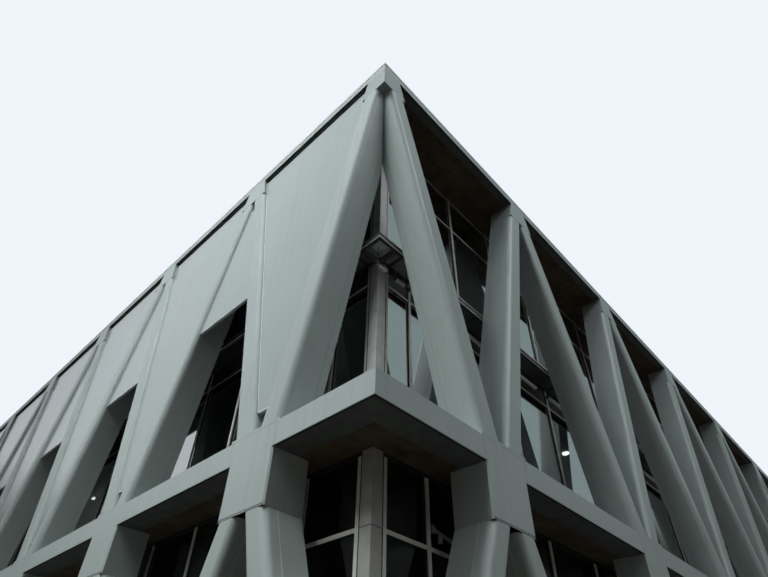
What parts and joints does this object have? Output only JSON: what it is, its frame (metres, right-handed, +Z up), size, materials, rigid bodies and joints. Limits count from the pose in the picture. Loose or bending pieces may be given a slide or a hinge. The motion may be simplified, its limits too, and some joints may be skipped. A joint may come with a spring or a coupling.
{
  "type": "sports centre",
  "caption": "Sports centre with glass walls behind a leaning zigzag outer frame, a mid band, metal wall panels and a narrow service walkway.",
  "frame": {"origin": "on the ground, at the middle of the building's plan", "axes": "+X along the long sides towards the east side, +Y along the short sides towards the north side, +Z up; the picture shows the corner of the south (-Y) and west (-X) sides"},
  "size_m": [29.15, 25.55, 13],
  "materials": {
    "frame_paint": "satin light grey paint",
    "panel_paint": "satin light grey paint",
    "window_metal": "anodised, satin",
    "glass": "clear, lightly tinted",
    "spandrel_metal": "satin",
    "soffit_boards": "dark stained boards",
    "concrete": "cast concrete",
    "roof_sheet": "mineral roof sheet",
    "walkway_steel": "galvanised, dull"
  },
  "bodies": {
    "root": {"catwalk_brackets": "walkway_steel", "catwalk_decks": "walkway_steel", "catwalk_edges": "walkway_steel", "corner_plates": "frame_paint", "corner_posts": "window_metal", "east_lower_legs": "frame_paint", "east_mid_band": "frame_paint", "east_mid_plates": "frame_paint", "east_roof_band": "frame_paint", "east_roof_plates": "frame_paint", "east_upper_legs": "frame_paint", "first_floor": "concrete", "first_glass": "glass", "foot_plates": "frame_paint", "ground_floor": "concrete", "ground_glass": "glass", "ground_rails": "window_metal", "mid_soffit": "soffit_boards", "mullions": "window_metal", "north_lower_legs": "frame_paint", "north_mid_band": "frame_paint", "north_mid_plates": "frame_paint", "north_roof_band": "frame_paint", "north_roof_plates": "frame_paint", "north_upper_legs": "frame_paint", "roof_coping": "frame_paint", "roof_slab": "roof_sheet", "roof_soffit": "soffit_boards", "second_floor": "concrete", "second_glass": "glass", "south_lower_legs": "frame_paint", "south_mid_band": "frame_paint", "south_mid_plates": "frame_paint", "south_roof_band": "frame_paint", "south_roof_plates": "frame_paint", "south_upper_legs": "frame_paint", "spandrel_panels": "spandrel_metal", "upper_rails": "window_metal", "wall_panels": "panel_paint", "west_lower_legs": "frame_paint", "west_mid_band": "frame_paint", "west_mid_plates": "frame_paint", "west_roof_band": "frame_paint", "west_roof_plates": "frame_paint", "west_upper_legs": "frame_paint"}
  },
  "joints": []
}
